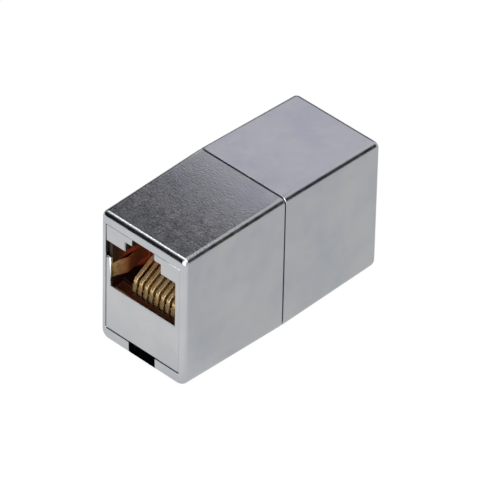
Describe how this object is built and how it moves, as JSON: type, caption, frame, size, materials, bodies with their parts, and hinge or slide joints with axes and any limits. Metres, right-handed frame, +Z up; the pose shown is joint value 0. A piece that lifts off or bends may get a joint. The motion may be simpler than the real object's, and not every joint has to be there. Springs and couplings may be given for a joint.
{
  "type": "rj45 inline coupler",
  "caption": "Shielded inline coupler that joins two modular network plugs end to end: a plated casing in two half shells with a latched socket in each end.",
  "frame": {"origin": "centre of the lowest line of the casing, under the seam between the two half shells", "axes": "+Z up, out of the side with the sockets' latch cuts; -Y out of the front socket, +Y out of the rear socket"},
  "size_m": [0.0162, 0.037, 0.0221],
  "materials": {
    "plated_casing": "satin bright plating with a faint mottle",
    "shield_sheet": "satin plated sheet",
    "socket_plastic": "semi-gloss moulded thermoplastic, near black brown",
    "carrier_plastic": "moulded thermoplastic, near black",
    "tray_plastic": "matt black moulded plastic",
    "board_laminate": "green solder resist on glass-epoxy laminate",
    "contact_gilt": "polished gold flash on spring bronze",
    "spring_gilt": "gold flash on spring bronze, slightly satin"
  },
  "bodies": {
    "root": {"front_shell": "plated_casing", "front_jack_shield": "shield_sheet", "front_jack_housing": "socket_plastic", "front_contact_carrier": "carrier_plastic", "front_ground_spring_left": "spring_gilt", "front_ground_spring_right": "spring_gilt", "front_contact_1": "contact_gilt", "front_contact_2": "contact_gilt", "front_contact_3": "contact_gilt", "front_contact_4": "contact_gilt", "front_contact_5": "contact_gilt", "front_contact_6": "contact_gilt", "front_contact_7": "contact_gilt", "front_contact_8": "contact_gilt", "rear_shell": "plated_casing", "rear_jack_shield": "shield_sheet", "rear_jack_housing": "socket_plastic", "rear_contact_carrier": "carrier_plastic", "rear_ground_spring_left": "spring_gilt", "rear_ground_spring_right": "spring_gilt", "rear_contact_1": "contact_gilt", "rear_contact_2": "contact_gilt", "rear_contact_3": "contact_gilt", "rear_contact_4": "contact_gilt", "rear_contact_5": "contact_gilt", "rear_contact_6": "contact_gilt", "rear_contact_7": "contact_gilt", "rear_contact_8": "contact_gilt", "base_tray": "tray_plastic", "circuit_board": "board_laminate"}
  },
  "joints": []
}
